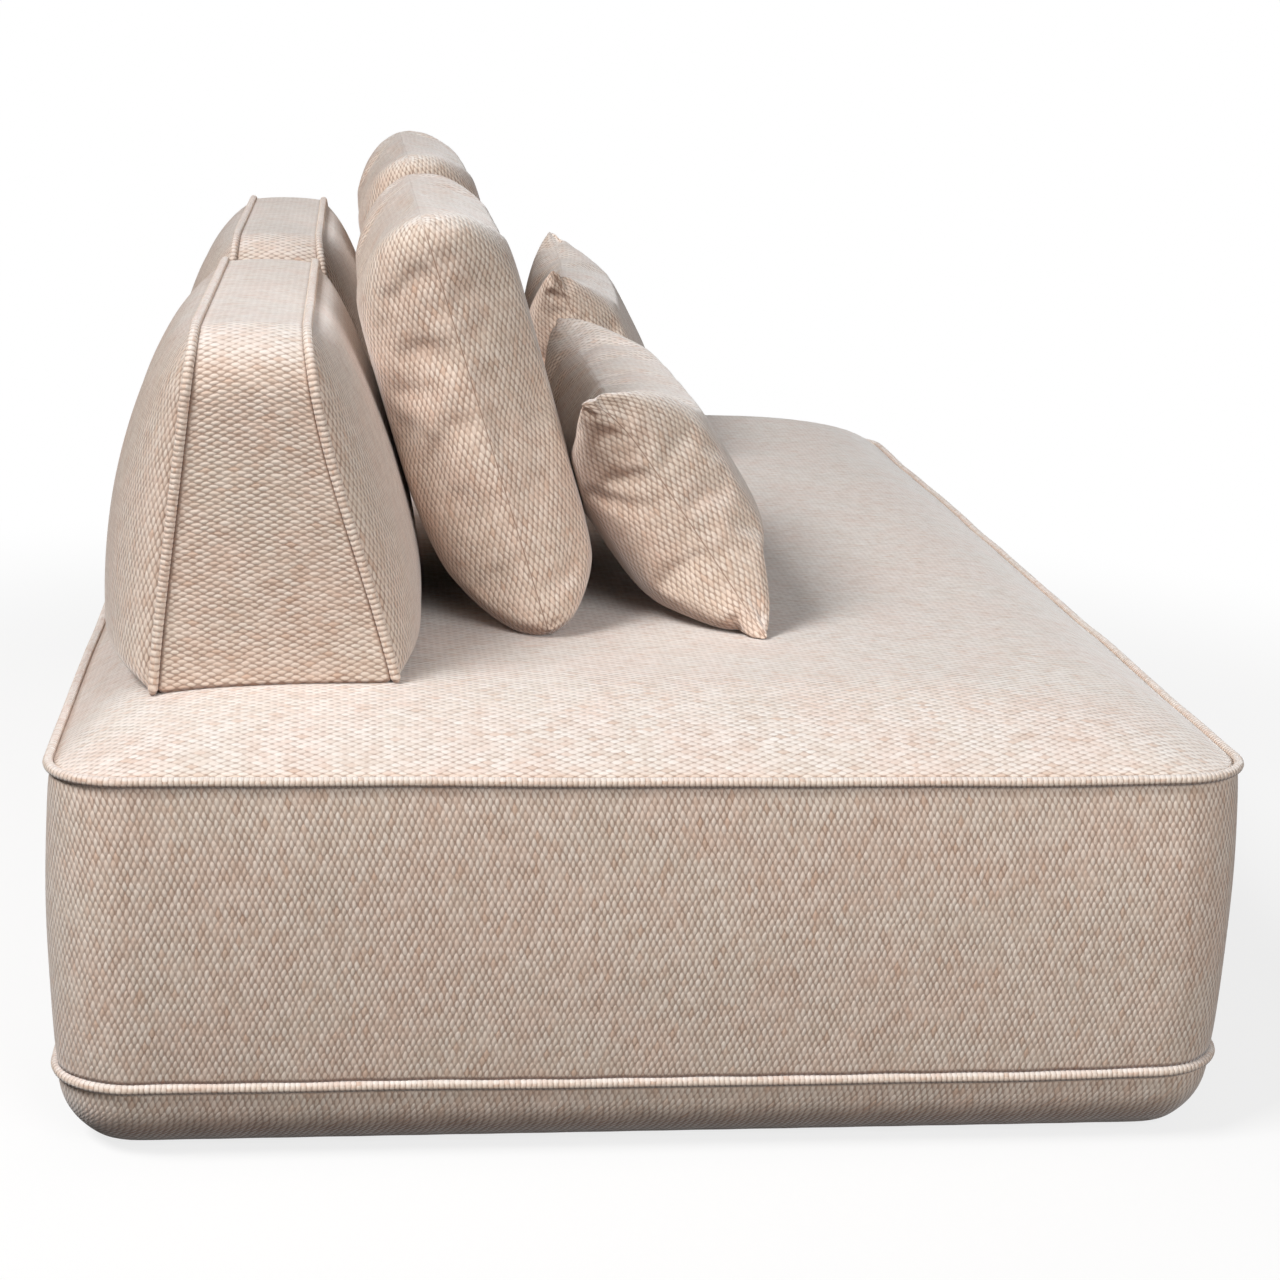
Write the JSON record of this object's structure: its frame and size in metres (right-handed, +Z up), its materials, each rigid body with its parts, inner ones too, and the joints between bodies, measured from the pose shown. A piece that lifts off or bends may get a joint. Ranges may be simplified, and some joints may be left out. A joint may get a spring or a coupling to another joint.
{
  "type": "modular sofa",
  "caption": "Low upholstered sofa: rounded platform with piped seams, loose wedge backrests, back cushions and scatter cushions.",
  "frame": {"origin": "middle of the bounding box on the floor", "axes": "+X along the sofa towards its right end as seen from the front, -Y towards the sitter's knees, +Z up"},
  "size_m": [1.871, 1.161, 0.8731],
  "materials": {
    "cover_cloth": "chunky basket weave of mottled chenille yarn",
    "piping_cloth": "corded piping in the cover cloth",
    "foam": "cut polyurethane foam",
    "filling": "fibre filling in a cotton inner case",
    "timber": "planed pine",
    "plywood": "birch plywood",
    "webbing": "elastic upholstery webbing",
    "dust_cloth": "non-woven dust cloth",
    "grip_mat": "non-slip mat",
    "glide_plastic": "moulded nylon glide",
    "screw_steel": "zinc-plated screw",
    "ballast_steel": "cut steel plate"
  },
  "bodies": {
    "platform": {"side_rails": "timber", "end_rails": "timber", "cross_rails": "timber", "plinth": "timber", "corner_blocks": "timber", "frame_screws": "screw_steel", "long_webbing": "webbing", "cross_webbing": "webbing", "seat_foam": "foam", "seat_topper": "foam", "border_foam": "foam", "roll_foam": "foam", "top_cover": "cover_cloth", "border_cover": "cover_cloth", "under_band": "cover_cloth", "top_piping": "piping_cloth", "lower_piping": "piping_cloth", "dust_cloth": "dust_cloth", "glides": "glide_plastic", "glide_screws": "screw_steel"},
    "left_backrest": {"left_backrest_foam": "foam", "left_backrest_board": "plywood", "left_backrest_ballast": "ballast_steel", "left_backrest_gusset": "cover_cloth", "left_backrest_front": "cover_cloth", "left_backrest_rear": "cover_cloth", "left_backrest_front_piping": "piping_cloth", "left_backrest_rear_piping": "piping_cloth", "left_backrest_grip_mat": "grip_mat"},
    "left_cushion": {"left_cushion_pad": "filling", "left_cushion_front": "cover_cloth", "left_cushion_rear": "cover_cloth"},
    "left_scatter": {"left_scatter_pad": "filling", "left_scatter_front": "cover_cloth", "left_scatter_rear": "cover_cloth"},
    "right_backrest": {"right_backrest_foam": "foam", "right_backrest_board": "plywood", "right_backrest_ballast": "ballast_steel", "right_backrest_gusset": "cover_cloth", "right_backrest_front": "cover_cloth", "right_backrest_rear": "cover_cloth", "right_backrest_front_piping": "piping_cloth", "right_backrest_rear_piping": "piping_cloth", "right_backrest_grip_mat": "grip_mat"},
    "right_cushion": {"right_cushion_pad": "filling", "right_cushion_front": "cover_cloth", "right_cushion_rear": "cover_cloth"},
    "right_scatter": {"right_scatter_pad": "filling", "right_scatter_front": "cover_cloth", "right_scatter_rear": "cover_cloth"}
  },
  "joints": [
    {"name": "left_backrest_slide", "type": "slide", "parent": "platform", "child": "left_backrest", "axis": [0, -1, 0], "range_m": [0, 0.3]},
    {"name": "left_cushion_lift", "type": "slide", "parent": "left_backrest", "child": "left_cushion", "axis": [0, 0, 1], "range_m": [0, 0.35]},
    {"name": "left_scatter_lift", "type": "slide", "parent": "left_cushion", "child": "left_scatter", "axis": [0, 0, 1], "range_m": [0, 0.35]},
    {"name": "right_backrest_slide", "type": "slide", "parent": "platform", "child": "right_backrest", "axis": [0, -1, 0], "range_m": [0, 0.3]},
    {"name": "right_cushion_lift", "type": "slide", "parent": "right_backrest", "child": "right_cushion", "axis": [0, 0, 1], "range_m": [0, 0.35]},
    {"name": "right_scatter_lift", "type": "slide", "parent": "right_cushion", "child": "right_scatter", "axis": [0, 0, 1], "range_m": [0, 0.35]}
  ]
}
